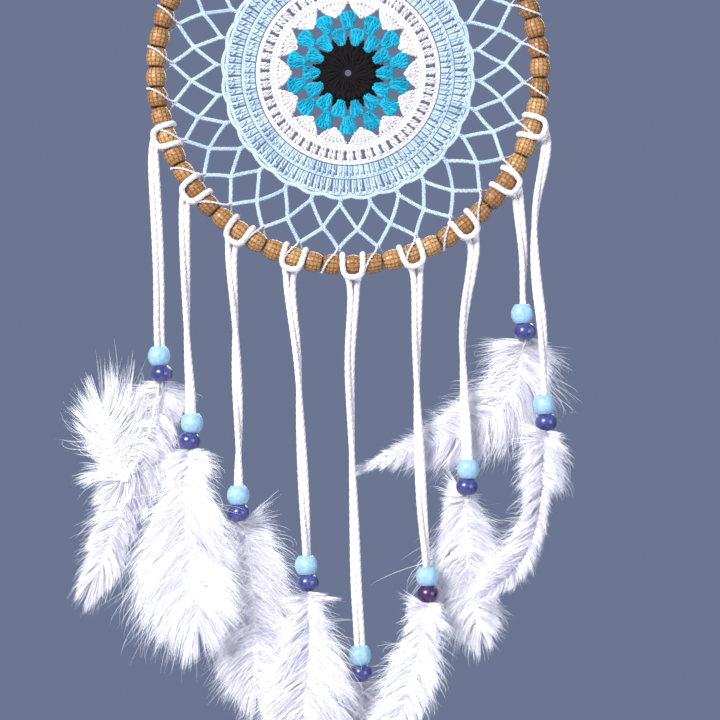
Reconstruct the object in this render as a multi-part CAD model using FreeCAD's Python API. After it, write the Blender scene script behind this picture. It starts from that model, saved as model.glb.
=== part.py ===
import FreeCAD, Part
import math
import os

# Dream catcher: a ring of wooden beads, a crocheted eye laced into it and nine pendants of cord, beads and
# feathers. Millimetres, +Z up, front towards -Y. The origin is on the hoop wire at the top of the hoop, where
# the object hangs; ANGLES ON THE HOOP are degrees from its lowest point, positive towards +X.

# hoop
HOOP_RADIUS = 96.0  # centreline of the wire
WIRE_DIAMETER = 2.5
HOOP_BEADS = 60
HOOP_BEAD_DIAMETER = 10.4
HOOP_BEAD_END_DIAMETER = 7.2
HOOP_BEAD_LENGTH = 9.6
HOOP_BEAD_BORE = 3.0
BEAD_PITCH = 360.0 / HOOP_BEADS

# crocheted eye: the radius where each round ends
HOLE_RADIUS = 3.5
BLACK_RADIUS = 13.5
TURQUOISE_INNER_RADIUS = 22.0
TURQUOISE_OUTER_RADIUS = 30.5
SHELL_RADIUS = 37.5
MESH_RADIUS = 46.0
BLUE_INNER_RADIUS = 53.0
BLUE_OUTER_RADIUS = 61.4
ROUND_GAP = 0.1  # between one round and the next
CLOTH_THICKNESS = 2.4
PETALS = 14
PETAL_PITCH = 360.0 / PETALS
INNER_PETAL_TURN = 11.2  # angle of the first petal of the inner round
OUTER_PETAL_TURN = -1.4
MESH_POSTS = 56

# net between the eye and the hoop
NET_NODES = 28
NET_PITCH = 360.0 / NET_NODES
NET_TURN = -4.6
NET_EDGE_RADIUS = 63.0
STEM_END_RADIUS = 66.0
MID_KNOT_RADIUS = 78.5
OUTER_KNOT_RADIUS = 88.25
CHAIN_WIDTH = 2.0
CHAIN_THICKNESS = 1.8
KNOT_RADIUS = 1.6

# lacing thread
LACING_DIAMETER = 1.0
LACING_LEAD = 5.5  # angle by which a stitch passes the hoop before it reaches its net knot

# pendant cords, beads and hitches
CORD_DIAMETER = 2.8
PAIR_RADIUS = 1.45  # from the middle of a pair of strands to each strand
HITCH_WRAP_RADIUS = 5.3
HITCH_GAP = 5.03  # along the hoop, from the middle bead to the gap beside it
STRAND_TOP_RADIUS = 103.5
HITCH_DROP = 9.0  # from the hoop's outside down to where the strands swing
SWING_GAP = 1.6
BLUE_BEAD = (11.2, 9.6)  # diameter, height
PURPLE_BEAD = (10.9, 8.0)
STRAND_BEAD_BORE = 5.5
TWIST_RUN = 30.0  # length of strand between two corners of its route
STRAND_END = 0.5  # the strands stop this far below the middle of the purple bead

# feathers
VANE_THICKNESS = 1.6
QUILL_DIAMETER = 2.2

# Each pendant: hoop angle, the blue bead's middle (x, drop below the hoop's middle), the purple bead's middle,
# and the twist of its two strands in degrees for each run.
PENDANTS = [
    (-72, (-98.0, 139.1), (-96.9, 148.0), 14),
    (-54, (-82.3, 173.0), (-83.9, 181.9), 55),
    (-36, (-60.2, 209.6), (-60.0, 218.5), 80),
    (-18, (-27.1, 245.4), (-26.4, 254.3), 62),
    (0, (-1.3, 291.1), (-1.0, 300.0), 34),
    (18, (33.2, 252.4), (33.5, 261.3), 50),
    (36, (55.1, 199.4), (54.2, 208.3), 58),
    (54, (84.0, 122.6), (85.2, 131.5), 48),
    (72, (93.8, 168.2), (94.6, 177.1), 70),
]

# Each feather: pendant, depth of the vane behind the bead's middle (+Y), then stations down the quill from the
# purple bead's middle: x, drop, half width towards the left and towards the right when looking at the front.
FEATHERS = {
    "feather_1": (1, 7.0, [(-1, 14, 11, 8), (-6, 32, 14, 12), (-14, 51, 14, 10), (-26, 76, 9, 8),
                           (-32, 93, 7, 7), (-38, 111, 2, 2)]),
    "feather_2": (2, -7.0, [(0, 13, 9, 8), (-1, 30, 20, 17), (-1, 43, 26, 19), (0, 62, 25, 18),
                            (2, 82, 18, 15), (3, 100, 2, 2)]),
    "feather_3": (3, 7.0, [(2, 9, 7, 11), (4, 23, 14, 18), (6, 49, 17, 18), (6, 69, 16, 16),
                           (6, 84, 11, 11), (6, 96, 2, 2)]),
    "feather_4": (4, -10.5, [(1, 9, 7, 7), (0, 29, 18, 19), (-2, 48, 19, 19), (-4, 68, 16, 17),
                             (-6, 83, 11, 12), (-7, 97, 2, 2)]),
    "feather_5": (5, 7.0, [(0, 8, 5, 5), (0, 23, 16, 17), (-1, 48, 18, 17), (-2, 73, 12, 12),
                           (-3, 93, 2, 2)]),
    "feather_6": (6, -7.0, [(-2, 9, 7, 6), (-5, 23, 11, 11), (-9, 35, 13, 11), (-13, 48, 12, 10),
                            (-20, 63, 9, 8), (-28, 78, 2, 2)]),
    "feather_7": (7, 7.0, [(-2, 8, 8, 8), (-1, 21, 13, 14), (0, 36, 15, 12), (2, 56, 13, 10),
                           (4, 71, 7, 6), (5, 81, 2, 2)]),
    "feather_8": (8, 7.0, [(-1, 10, 13, 18), (-3, 23, 16, 20), (-11, 36, 13, 15), (-25, 46, 12, 14),
                           (-41, 53, 8, 11), (-61, 59, 5, 6), (-83, 67, 1, 1)]),
    "feather_9": (9, -7.0, [(-2, 9, 9, 9), (-3, 19, 9, 10), (-4, 34, 8, 4), (-7, 51, 11, 4),
                            (-14, 67, 12, 5), (-24, 77, 8, 5), (-38, 85, 2, 2)]),
}
# The curled second feather of the first pendant: its bare quill runs down, and the vane curls back up.
CURL_DEPTH = 3.0
CURL_QUILL = [(-7, 28), (-14, 44), (-21, 52)]
CURL_VANE = [(-22, 50, 7, 6), (-25, 38, 14, 9), (-27, 26, 18, 10), (-29, 12, 14, 9), (-31, 1, 3, 3)]

V = FreeCAD.Vector
CENTRE = V(0, 0, -HOOP_RADIUS)
FRONT = V(0, -1, 0)


def on_hoop(radius, angle, y=0.0):
    """The point at a radius and an angle about the hoop's middle."""
    a = math.radians(angle)
    return CENTRE + V(radius * math.sin(a), y, -radius * math.cos(a))


def export(name, shape):
    assert shape.isValid(), name
    shape.exportStep("parts/%s.step" % name)


def turned(shape, angle):
    """A copy turned about the hoop's middle, positive from the lowest point towards +X."""
    copy = shape.copy()
    copy.rotate(CENTRE, FRONT, angle)
    return copy


def around(shape, count, first=0.0):
    return [turned(shape, first + 360.0 * i / count) for i in range(count)]


# ---------------------------------------------------------------- cords

def corner_radius(before, point, after):
    """0.45 of the shorter run over the tangent of half the turn, and the turn in radians."""
    turn = (point - before).getAngle(after - point)
    shorter = min((point - before).Length, (after - point).Length)
    return 0.45 * shorter / math.tan(turn / 2.0), turn


def cord_path(points):
    """Straight runs joined by tangent arcs, as one wire, with the arcs' radii."""
    edges, radii, start = [], [], points[0]
    for before, point, after in zip(points, points[1:], points[2:]):
        radius, turn = corner_radius(before, point, after)
        radii.append(radius)
        reach = radius * math.tan(turn / 2.0)
        back = (before - point).normalize()
        ahead = (after - point).normalize()
        enter, leave = point + back * reach, point + ahead * reach
        bisector = (back + ahead).normalize()
        middle = point + bisector * (radius / math.cos(turn / 2.0) - radius)
        edges.append(Part.LineSegment(start, enter).toShape())
        edges.append(Part.Arc(enter, middle, leave).toShape())
        start = leave
    edges.append(Part.LineSegment(start, points[-1]).toShape())
    return Part.Wire(edges), radii


def tube(points, diameter):
    """A round cord along a route, as one solid."""
    path, radii = cord_path(points)
    direction = points[1] - points[0]
    section = Part.Wire([Part.makeCircle(diameter / 2.0, points[0], direction)])
    sweep = Part.BRepOffsetAPI.MakePipeShell(path)
    sweep.add(section)
    sweep.setTransitionMode(1)
    sweep.build()
    sweep.makeSolid()
    solid = Part.Solid(sweep.shape()) if sweep.shape().ShapeType == "Shell" else sweep.shape()
    expected = math.pi * diameter ** 2 / 4.0 * path.Length
    assert abs(solid.Volume / expected - 1.0) < 0.03, (solid.Volume, expected)
    return solid, radii, path.Length


# ---------------------------------------------------------------- hoop

def hoop_wire():
    return Part.makeTorus(HOOP_RADIUS, WIRE_DIAMETER / 2.0, CENTRE, V(0, 1, 0))


def barrel(diameter, end_diameter, length, bore):
    """A barrel-shaped bead about the Z axis, its middle at the origin."""
    half, r, e, b = length / 2.0, diameter / 2.0, end_diameter / 2.0, bore / 2.0
    edges = [
        Part.LineSegment(V(b, 0, -half), V(e, 0, -half)).toShape(),
        Part.Arc(V(e, 0, -half), V(r, 0, 0), V(e, 0, half)).toBSpline().toShape(),
        Part.LineSegment(V(e, 0, half), V(b, 0, half)).toShape(),
        Part.LineSegment(V(b, 0, half), V(b, 0, -half)).toShape(),
    ]
    return Part.Face(Part.Wire(edges)).revolve(V(0, 0, 0), V(0, 0, 1), 360)


def hoop_beads():
    bead = barrel(HOOP_BEAD_DIAMETER, HOOP_BEAD_END_DIAMETER, HOOP_BEAD_LENGTH, HOOP_BEAD_BORE)
    bead.rotate(V(0, 0, 0), V(0, 1, 0), 90)
    bead.translate(on_hoop(HOOP_RADIUS, 0))
    return Part.makeCompound(around(bead, HOOP_BEADS))


# ---------------------------------------------------------------- crocheted eye and net

def slab(face, thickness=CLOTH_THICKNESS):
    """A flat face in the hoop's plane made into a plate centred on it."""
    plate = face.extrude(V(0, thickness, 0))
    plate.translate(V(0, -thickness / 2.0, 0))
    return plate


def cloth_ring(inner, outer):
    disc = Part.makeCylinder(outer, CLOTH_THICKNESS, CENTRE - V(0, CLOTH_THICKNESS / 2.0, 0), V(0, 1, 0))
    hole = Part.makeCylinder(inner, CLOTH_THICKNESS, CENTRE - V(0, CLOTH_THICKNESS / 2.0, 0), V(0, 1, 0))
    return disc.cut(hole)


def petal(inner, outer, inner_half, outer_half):
    """A petal that widens outwards, with a rounded end, at the lowest point of the eye."""
    shoulder = outer - 0.16 * (outer - inner)
    left, right = on_hoop(shoulder, -outer_half), on_hoop(shoulder, outer_half)
    edges = [
        Part.LineSegment(on_hoop(inner, -inner_half), left).toShape(),
        Part.Arc(left, on_hoop(outer, 0), right).toShape(),
        Part.LineSegment(right, on_hoop(inner, inner_half)).toShape(),
        Part.LineSegment(on_hoop(inner, inner_half), on_hoop(inner, -inner_half)).toShape(),
    ]
    return slab(Part.Face(Part.Wire(edges)))


def petal_round(base, first, turn):
    """A base ring with its petals standing on it, fused."""
    return base.multiFuse(around(first, PETALS, turn)).removeSplitter()


def turquoise_inner():
    base = cloth_ring(BLACK_RADIUS + ROUND_GAP, BLACK_RADIUS + 1.4)
    return petal_round(base, petal(BLACK_RADIUS + 1.0, TURQUOISE_INNER_RADIUS, 4.5, 8.5), INNER_PETAL_TURN)


def turquoise_outer():
    start = TURQUOISE_INNER_RADIUS + ROUND_GAP
    base = cloth_ring(start, start + 1.2)
    return petal_round(base, petal(start + 0.8, TURQUOISE_OUTER_RADIUS, 4.0, 7.5), OUTER_PETAL_TURN)


def white_shell():
    base = cloth_ring(SHELL_RADIUS - 2.0, SHELL_RADIUS - ROUND_GAP)
    return petal_round(base, petal(28.5, SHELL_RADIUS - 1.0, 3.0, 9.0), INNER_PETAL_TURN)


def white_mesh():
    inner = cloth_ring(SHELL_RADIUS, SHELL_RADIUS + 2.0)
    outer = cloth_ring(MESH_RADIUS - 2.0, MESH_RADIUS - ROUND_GAP)
    post = slab(bar_face(on_hoop(SHELL_RADIUS + 1.5, 0), on_hoop(MESH_RADIUS - 1.5, 0), 2.2))
    return inner.multiFuse([outer] + around(post, MESH_POSTS)).removeSplitter()


def bar_face(start, end, width):
    """A flat strip from one point to another in the hoop's plane."""
    along = (end - start).normalize()
    side = V(-along.z, 0, along.x) * (width / 2.0)
    corners = [start + side, end + side, end - side, start - side]
    return Part.Face(Part.makePolygon(corners + corners[:1]))


def chain(start, end):
    return slab(bar_face(start, end, CHAIN_WIDTH), CHAIN_THICKNESS)


def knot(point):
    half = V(0, CHAIN_THICKNESS / 2.0, 0)
    return Part.makeCylinder(KNOT_RADIUS, CHAIN_THICKNESS, point - half, V(0, 1, 0))


def chain_net():
    """The scalloped edge, the stems and two rows of diamonds, as one chain-stitch net."""
    stem_end, outer_knot = on_hoop(STEM_END_RADIUS, 0), on_hoop(OUTER_KNOT_RADIUS, 0)
    left = on_hoop(MID_KNOT_RADIUS, -NET_PITCH / 2.0)
    right = on_hoop(MID_KNOT_RADIUS, NET_PITCH / 2.0)
    pieces = [chain(on_hoop(NET_EDGE_RADIUS - 0.5, 0), stem_end), knot(stem_end), knot(right), knot(outer_knot)]
    pieces += [chain(stem_end, left), chain(stem_end, right), chain(left, outer_knot), chain(right, outer_knot)]
    repeat = pieces[0].multiFuse(pieces[1:])
    edge = cloth_ring(BLUE_OUTER_RADIUS + ROUND_GAP, NET_EDGE_RADIUS)
    return edge.multiFuse(around(repeat, NET_NODES, NET_TURN)).removeSplitter()


def gap_near(angle):
    """The gap between two hoop beads that is nearest to an angle."""
    return BEAD_PITCH * (math.floor(angle / BEAD_PITCH) + 0.5)


def lacing_thread():
    """One thread: over the front of the hoop to a net knot, then behind the hoop to the next stitch."""
    points = []
    for i in range(NET_NODES):
        node = NET_TURN + NET_PITCH * i - 180.0
        gap, following = gap_near(node - LACING_LEAD), gap_near(node + NET_PITCH - LACING_LEAD)
        points += [
            on_hoop(101.2, gap, 0),
            on_hoop(99.0, gap + 0.4, -4.8),
            on_hoop(94.0, gap + 0.4 * (node - gap), -5.9),
            on_hoop(90.0, node - 0.5, -2.4),
            on_hoop(86.0, node, 0),
            on_hoop(90.0, node + 0.7, 2.4),
            on_hoop(94.0, node + 0.4 * (following - node), 6.1),
            on_hoop(99.0, following - 0.6, 5.0),
        ]
    return tube(points, LACING_DIAMETER)[0]


# ---------------------------------------------------------------- pendants

def strand_exit(angle, side):
    """Where a strand leaves its hitch: below the hoop's outside, to the left (-1) or the right (+1)."""
    return on_hoop(STRAND_TOP_RADIUS, angle) + V(side * PAIR_RADIUS, 0, -HITCH_DROP)


def hitch_side(angle, side):
    """Half of a lark's head hitch, from a strand's exit over the hoop to the loop in front."""
    a = math.radians(angle)
    along, out = V(math.cos(a), 0, math.sin(a)), V(math.sin(a), 0, -math.cos(a))

    def at(t, u, y):
        return on_hoop(HOOP_RADIUS, angle) + along * (side * t) + out * u + V(0, y, 0)

    w = HITCH_WRAP_RADIUS
    return [
        strand_exit(angle, side),
        at(3.2, 7.0, 1.4),
        at(HITCH_GAP, 0.62 * w, 0.92 * w),
        at(HITCH_GAP, -0.45 * w, w),
        at(HITCH_GAP, -w, 0.42 * w),
        at(HITCH_GAP, -w, -0.42 * w),
        at(HITCH_GAP, -0.45 * w, -w),
        at(HITCH_GAP, 0.5 * w, -w),
        at(3.4, 6.3, -4.0),
    ]


def hitch(angle):
    left, right = hitch_side(angle, -1), hitch_side(angle, 1)
    return tube(left + right[::-1], CORD_DIAMETER)


def pair_route(number):
    """The routes of a pendant's two strands, twisted round each other, down into the purple bead."""
    angle, blue, purple, twist = PENDANTS[number - 1]
    top = on_hoop(STRAND_TOP_RADIUS, angle) + V(0, 0, -HITCH_DROP - SWING_GAP)
    blue_middle = V(blue[0], 0, -HOOP_RADIUS - blue[1])
    purple_middle = V(purple[0], 0, -HOOP_RADIUS - purple[1])
    bead_top = blue_middle + V(0, 0, BLUE_BEAD[1] / 2.0 + 2.0)
    count = max(2, round((top - bead_top).Length / TWIST_RUN))
    middles = [top + (bead_top - top) * (i / count) for i in range(count + 1)]
    turns = [math.radians(twist * i) for i in range(count + 1)]
    middles += [purple_middle + V(0, 0, -STRAND_END)]
    turns += [turns[-1] + math.radians(6)]
    routes = []
    for side in (-1, 1):
        offsets = [V(math.cos(t), math.sin(t), 0) * (side * PAIR_RADIUS) for t in turns]
        routes.append([m + o for m, o in zip(middles, offsets)])
    return routes


def strand_bead(size, middle, direction):
    bead = barrel(size[0], 0.66 * size[0], size[1], STRAND_BEAD_BORE)
    bead.Placement = FreeCAD.Placement(middle, FreeCAD.Rotation(V(0, 0, -1), direction))
    return bead


def station_points(stations, origin, depth):
    """The left and the right edge of a vane from its stations along the quill."""
    quill = [origin + V(x, depth, -drop) for x, drop, _, _ in stations]
    left, right = [], []
    for i, (_, _, half_left, half_right) in enumerate(stations):
        along = (quill[min(i + 1, len(quill) - 1)] - quill[max(i - 1, 0)]).normalize()
        to_left = V(along.z, 0, -along.x)
        left.append(quill[i] + to_left * half_left)
        right.append(quill[i] - to_left * half_right)
    return left, right


def vane(stations, origin, depth):
    """A flat vane with a smooth outline through its stations."""
    left, right = station_points(stations, origin, depth)
    outline = Part.BSplineCurve()
    outline.interpolate(left + right[::-1], PeriodicFlag=True)
    return slab(Part.Face(Part.Wire([outline.toShape()])), VANE_THICKNESS)


def quill(points):
    """The bare lower end of the quill, thick enough to hold the vane in the bead."""
    return tube(points, QUILL_DIAMETER)[0]


def feather(name):
    number, depth, stations = FEATHERS[name]
    x, drop = PENDANTS[number - 1][2]
    origin = V(x, 0, -HOOP_RADIUS - drop)
    tip_x, tip_drop = stations[2][0], stations[2][1]
    stub = quill([
        origin + V(0, 0, -STRAND_END - 0.3),
        origin + V(0, 0.08 * depth, -5.0),
        origin + V(stations[0][0] * 0.6, depth * 0.97, -11.5),
        origin + V(tip_x, depth, -tip_drop),
    ])
    return stub.fuse(vane(stations, origin, depth)).removeSplitter()


def curled_feather():
    x, drop = PENDANTS[0][2]
    origin = V(x, 0, -HOOP_RADIUS - drop)
    points = [origin + V(-1.2, 0, -4.3), origin + V(-3, CURL_DEPTH, -12)]
    points += [origin + V(qx, CURL_DEPTH, -qd) for qx, qd in CURL_QUILL]
    return quill(points).fuse(vane(CURL_VANE, origin, CURL_DEPTH)).removeSplitter()


def pendant(number):
    angle, blue, purple, _ = PENDANTS[number - 1]
    blue_middle = V(blue[0], 0, -HOOP_RADIUS - blue[1])
    purple_middle = V(purple[0], 0, -HOOP_RADIUS - purple[1])
    knot_solid, knot_radii, knot_length = hitch(angle)
    export("hitch_%d" % number, knot_solid)
    strands = [tube(route, CORD_DIAMETER) for route in pair_route(number)]
    export("strands_%d" % number, Part.makeCompound([s[0] for s in strands]))
    export("blue_bead_%d" % number, strand_bead(BLUE_BEAD, blue_middle, V(0, 0, -1)))
    export("purple_bead_%d" % number, strand_bead(PURPLE_BEAD, purple_middle, V(0, 0, -1)))
    radii = min(knot_radii), min(strands[0][1])
    total = knot_length + sum(s[2] for s in strands) + 2 * SWING_GAP
    swing = on_hoop(STRAND_TOP_RADIUS, angle) + V(0, 0, -HITCH_DROP - SWING_GAP / 2.0)
    print("pendant %d: least arc radius in the hitch %.1f, in the strands %.0f; cord %.0f mm; swings at %.1f, %.1f"
          % (number, radii[0], radii[1], total, swing.x, swing.z))


def main():
    os.makedirs("parts", exist_ok=True)
    export("hoop_wire", hoop_wire())
    export("hoop_beads", hoop_beads())
    export("black_centre_round", cloth_ring(HOLE_RADIUS, BLACK_RADIUS))
    export("turquoise_round_inner", turquoise_inner())
    export("turquoise_round_outer", turquoise_outer())
    export("white_shell_round", white_shell())
    export("white_mesh_round", white_mesh())
    export("blue_round_inner", cloth_ring(MESH_RADIUS, BLUE_INNER_RADIUS))
    export("blue_round_outer", cloth_ring(BLUE_INNER_RADIUS + ROUND_GAP, BLUE_OUTER_RADIUS))
    export("chain_net", chain_net())
    export("lacing_thread", lacing_thread())
    for number in range(1, len(PENDANTS) + 1):
        pendant(number)
    for name in FEATHERS:
        export(name, feather(name))
    export("feather_1_b", curled_feather())


main()
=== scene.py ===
"""Dream catcher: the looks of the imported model. Lengths are in millimetres until a mesh is made, in metres."""
import math

import bpy
import numpy as np
from mathutils import Matrix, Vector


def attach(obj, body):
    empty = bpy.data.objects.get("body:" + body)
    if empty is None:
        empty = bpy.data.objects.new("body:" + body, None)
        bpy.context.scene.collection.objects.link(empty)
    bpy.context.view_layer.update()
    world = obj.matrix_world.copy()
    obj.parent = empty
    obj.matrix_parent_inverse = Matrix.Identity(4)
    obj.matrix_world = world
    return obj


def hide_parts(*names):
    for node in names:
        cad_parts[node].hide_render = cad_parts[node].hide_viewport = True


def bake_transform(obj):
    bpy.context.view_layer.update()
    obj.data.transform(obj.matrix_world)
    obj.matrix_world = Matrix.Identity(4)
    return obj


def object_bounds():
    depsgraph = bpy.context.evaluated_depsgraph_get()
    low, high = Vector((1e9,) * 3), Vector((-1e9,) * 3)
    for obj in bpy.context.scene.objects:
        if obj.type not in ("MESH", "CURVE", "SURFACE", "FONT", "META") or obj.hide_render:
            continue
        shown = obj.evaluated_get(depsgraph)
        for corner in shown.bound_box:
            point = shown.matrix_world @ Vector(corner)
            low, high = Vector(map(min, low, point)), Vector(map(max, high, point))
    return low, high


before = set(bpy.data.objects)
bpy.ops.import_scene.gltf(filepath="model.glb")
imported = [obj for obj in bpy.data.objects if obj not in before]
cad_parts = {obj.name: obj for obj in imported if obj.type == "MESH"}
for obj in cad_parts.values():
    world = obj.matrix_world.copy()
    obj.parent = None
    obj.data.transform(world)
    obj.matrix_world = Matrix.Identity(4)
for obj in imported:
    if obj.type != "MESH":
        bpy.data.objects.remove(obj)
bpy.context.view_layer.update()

MM = 0.001

# ---------------------------------------------------------------- sizes, as in the CAD model

HOOP_RADIUS = 96.0
HOOP_BEADS = 60
HOOP_BEAD_SIZE = (10.4, 7.2, 9.6)  # diameter, end diameter, length
HOOP_BEAD_BORE = 3.0
STRAND_BEAD_BORE = 5.5
PETALS = 14
NET_NODES = 28
NET_PITCH = 360.0 / NET_NODES
NET_TURN = -4.6
STEM_END_RADIUS = 66.0
MID_KNOT_RADIUS = 78.5
OUTER_KNOT_RADIUS = 88.25
LACING_LEAD = 5.5
LACING_DRAWN = 1.25  # thickness of the lacing as it is drawn
LACING_LAY = 4.0
CORD_DIAMETER = 2.8
CORD_DRAWN = 1.08  # the outline of the three plies, as a share of the diameter
FUZZ = 1.1  # loose fibres for each millimetre of cord
CORD_LAY = 11.0  # length of one turn of a ply
CORD_STEP = 0.7
PAIR_RADIUS = 1.45
HITCH_WRAP_RADIUS = 5.3
HITCH_GAP = 5.03
STRAND_TOP_RADIUS = 103.5
HITCH_DROP = 9.0
SWING_GAP = 1.6
TWIST_RUN = 30.0
STRAND_END = 0.5
BLUE_BEAD = (11.2, 9.6)
PURPLE_BEAD = (10.9, 8.0)

# hoop angle, blue bead's middle (x, drop below the hoop's middle), purple bead's middle, twist for each run
PENDANTS = [
    (-72, (-98.0, 139.1), (-96.9, 148.0), 14),
    (-54, (-82.3, 173.0), (-83.9, 181.9), 55),
    (-36, (-60.2, 209.6), (-60.0, 218.5), 80),
    (-18, (-27.1, 245.4), (-26.4, 254.3), 62),
    (0, (-1.3, 291.1), (-1.0, 300.0), 34),
    (18, (33.2, 252.4), (33.5, 261.3), 50),
    (36, (55.1, 199.4), (54.2, 208.3), 58),
    (54, (84.0, 122.6), (85.2, 131.5), 48),
    (72, (93.8, 168.2), (94.6, 177.1), 70),
]

# how far each pair of strands is moved at the corners of its route, from the top down, to hang as in the
# photograph: to the right and to the back, where a negative number is to the left or to the front
WANDER = [
    [(0.5, 0), (0.8, 0), (1.1, 0), (0, 0)],
    [(0.5, 0), (-0.5, 0), (-1.1, 0), (0, 0)],
    [(0.2, 0), (1.2, 0), (1.1, 0), (1.4, 0), (0.2, 0)],
    [(2.5, 0), (2.2, 0), (1.2, 0), (1.0, 0), (0.4, 0)],
    [(-1.0, 0), (-2.8, 0), (-2.5, 0), (-2.1, 0), (-1.6, 0), (-1.3, 0), (0, 0)],
    [(-0.8, 0), (-1.5, 0), (-2.1, 0), (-1.8, 0), (-1.5, 0), (0, 0)],
    [(-2.5, 0), (-5.3, 0), (-3.0, 0), (0, 0)],
    [(1.5, 0.5), (2.0, 1.2), (0, 0)],
    [(-1.5, -1.0), (-6.5, -2.2), (-5.5, -3.5), (-1.0, -4.0), (0, 0)],
]


def on_hoop(radius, angle, y=0.0):
    """The point at a radius and an angle about the hoop's middle, the angle from its lowest point towards +X."""
    a = np.radians(angle)
    shape = np.broadcast(radius, a, y).shape
    return np.stack([np.broadcast_to(radius * np.sin(a), shape), np.broadcast_to(y, shape),
                     np.broadcast_to(-HOOP_RADIUS - radius * np.cos(a), shape)], axis=-1)


def bead_middle(place):
    """The middle of a bead on a pendant, from its x and its drop below the hoop's middle."""
    return np.array([place[0], 0, -HOOP_RADIUS - place[1]])


# ---------------------------------------------------------------- camera

PHOTO_ROLL = math.radians(1.43)
AIM = (2.4, -239.6)  # x and z at the middle of the view
VIEW_WIDTH = 360.0
LENS = 85.0
SENSOR = 36.0


def make_camera():
    """A level view of the front, rolled a little, as wide as the photograph's."""
    data = bpy.data.cameras.new("camera")
    data.lens, data.sensor_width = LENS, SENSOR
    camera = bpy.data.objects.new("camera", data)
    c, s = math.cos(PHOTO_ROLL), math.sin(PHOTO_ROLL)
    distance = VIEW_WIDTH * LENS / SENSOR
    place = Matrix(((c, s, 0, AIM[0] * MM), (0, 0, -1, -distance * MM), (-s, c, 0, AIM[1] * MM), (0, 0, 0, 1)))
    camera.matrix_world = place
    bpy.context.collection.objects.link(camera)
    bpy.context.scene.camera = camera


# ---------------------------------------------------------------- meshes

def lengths_along(path):
    steps = np.linalg.norm(np.diff(path, axis=0), axis=1)
    return np.concatenate([[0.0], np.cumsum(steps)])


def even(path, step):
    """The same line with its points evenly spaced."""
    s = lengths_along(path)
    t = np.linspace(0, s[-1], max(3, int(round(s[-1] / step)) + 1))
    return np.stack([np.interp(t, s, path[:, i]) for i in range(3)], axis=1)


def smooth_line(points, count):
    """A smooth line through a few points (Catmull-Rom)."""
    p = np.asarray(points, float)
    p = np.vstack([2 * p[0] - p[1], p, 2 * p[-1] - p[-2]])
    t = np.linspace(0, len(p) - 3 - 1e-9, count)
    i = t.astype(int)
    f = (t - i)[:, None]
    a, b, c, d = p[i], p[i + 1], p[i + 2], p[i + 3]
    return 0.5 * (2 * b + (c - a) * f + (2 * a - 5 * b + 4 * c - d) * f ** 2 + (3 * b - a - 3 * c + d) * f ** 3)


def frames_along(path):
    """Tangent, normal and binormal at each point, turned as little as possible from one to the next."""
    tangent = np.gradient(path, axis=0)
    tangent /= np.linalg.norm(tangent, axis=1)[:, None] + 1e-12
    start = np.array([0.0, 1.0, 0.0]) if abs(tangent[0][1]) < 0.8 else np.array([1.0, 0.0, 0.0])
    normal = np.empty_like(path)
    n = start
    for i, t in enumerate(tangent):
        n = n - t * np.dot(n, t)
        n /= np.linalg.norm(n)
        normal[i] = n
    return tangent, normal, np.cross(tangent, normal)


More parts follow.
